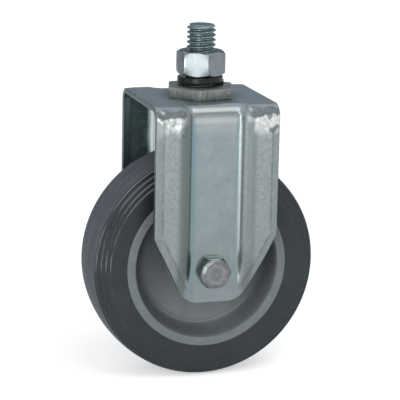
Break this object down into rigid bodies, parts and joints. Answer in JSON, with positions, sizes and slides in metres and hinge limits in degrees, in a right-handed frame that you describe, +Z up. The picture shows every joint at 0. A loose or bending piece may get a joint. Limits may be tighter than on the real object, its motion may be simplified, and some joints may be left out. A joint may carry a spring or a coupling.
{
  "type": "threaded stem rigid caster",
  "caption": "Rigid caster with a threaded stem, a pressed steel fork and a rubber tyred wheel on ball bearings.",
  "frame": {"origin": "on the stem's axis at the top face of the hexagonal collar, the seat under the furniture", "axes": "+Z up along the stem; Y along the axle, the bolt's head at -Y; X the way the wheel rolls"},
  "size_m": [0.1016, 0.0653, 0.1555],
  "materials": {
    "fork_zinc": "zinc plated, matt",
    "stem_zinc": "zinc plated, dull",
    "nut_zinc": "bright zinc plated",
    "bolt_zinc": "zinc plated",
    "washer_black": "black oxide, oiled",
    "bearing_steel": "ground and polished",
    "spacer_steel": "turned, zinc plated",
    "cage_plastic": "natural moulded",
    "lock_ring_plastic": "moulded",
    "tyre_rubber": "grey elastomer, matt",
    "hub_plastic": "grey moulded"
  },
  "bodies": {
    "carrier": {"fork": "fork_zinc", "threaded_stem": "stem_zinc", "mounting_nut": "nut_zinc", "spring_washer": "washer_black", "axle_bolt": "bolt_zinc", "axle_washer": "bolt_zinc", "axle_nut": "bolt_zinc", "nut_locking_ring": "lock_ring_plastic", "bearing_spacer": "spacer_steel", "front_inner_race": "bearing_steel", "front_spacer": "spacer_steel", "rear_inner_race": "bearing_steel", "rear_spacer": "spacer_steel"},
    "wheel": {"tyre": "tyre_rubber", "hub": "hub_plastic", "front_outer_race": "bearing_steel", "front_outboard_shield": "bearing_steel", "front_inboard_shield": "bearing_steel", "rear_outer_race": "bearing_steel", "rear_outboard_shield": "bearing_steel", "rear_inboard_shield": "bearing_steel"},
    "front_ball_set": {"front_balls": "bearing_steel", "front_ball_cage": "cage_plastic"},
    "rear_ball_set": {"rear_balls": "bearing_steel", "rear_ball_cage": "cage_plastic"}
  },
  "joints": [
    {"name": "wheel_spin", "type": "hinge", "parent": "carrier", "child": "wheel", "pos_m": [0, 0, -0.0779], "axis": [0, 1, 0], "continuous": true},
    {"name": "front_balls_roll", "type": "hinge", "parent": "carrier", "child": "front_ball_set", "pos_m": [0, 0, -0.0779], "axis": [0, 1, 0], "continuous": true},
    {"name": "rear_balls_roll", "type": "hinge", "parent": "carrier", "child": "rear_ball_set", "pos_m": [0, 0, -0.0779], "axis": [0, 1, 0], "continuous": true}
  ],
  "couplings": [
    {"joint": "front_balls_roll", "follows": "wheel_spin", "ratio": 0.6323},
    {"joint": "rear_balls_roll", "follows": "wheel_spin", "ratio": 0.6323}
  ]
}
